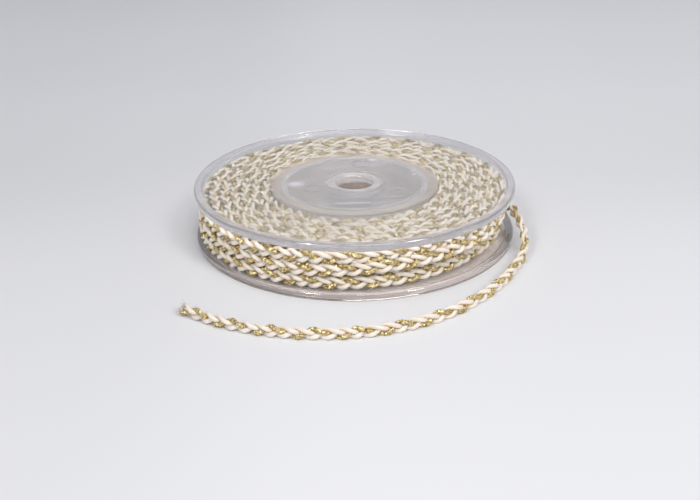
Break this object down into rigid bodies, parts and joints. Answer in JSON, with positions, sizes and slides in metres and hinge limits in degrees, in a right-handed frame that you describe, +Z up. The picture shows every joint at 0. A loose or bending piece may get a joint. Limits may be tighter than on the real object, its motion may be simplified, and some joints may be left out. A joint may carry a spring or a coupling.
{
  "type": "metallic braided cord on a clear spool",
  "caption": "Narrow plaited trimming cord, wound in stacked turns on a clear flanged spool with a centre bore, its loose end lying round the front.",
  "frame": {"origin": "centre of the spool's base, on the surface it stands on", "axes": "+Z up along the spool's axis; -Y to the side the loose end sweeps across; +X to the side it leaves the winding"},
  "size_m": [0.0721, 0.0854, 0.0122],
  "materials": {
    "spool_clear": "clear polished styrene with a faint lavender tint",
    "cord_cream": "soft satin strand, faint twist lines and sheen",
    "cord_gold": "twisted metallic yarn with bright glints over an olive-brown core"
  },
  "bodies": {
    "root": {"lower_flange": "spool_clear", "upper_flange": "spool_clear", "cord_winding": "cord_cream", "cord_tail": "cord_gold"}
  },
  "joints": []
}
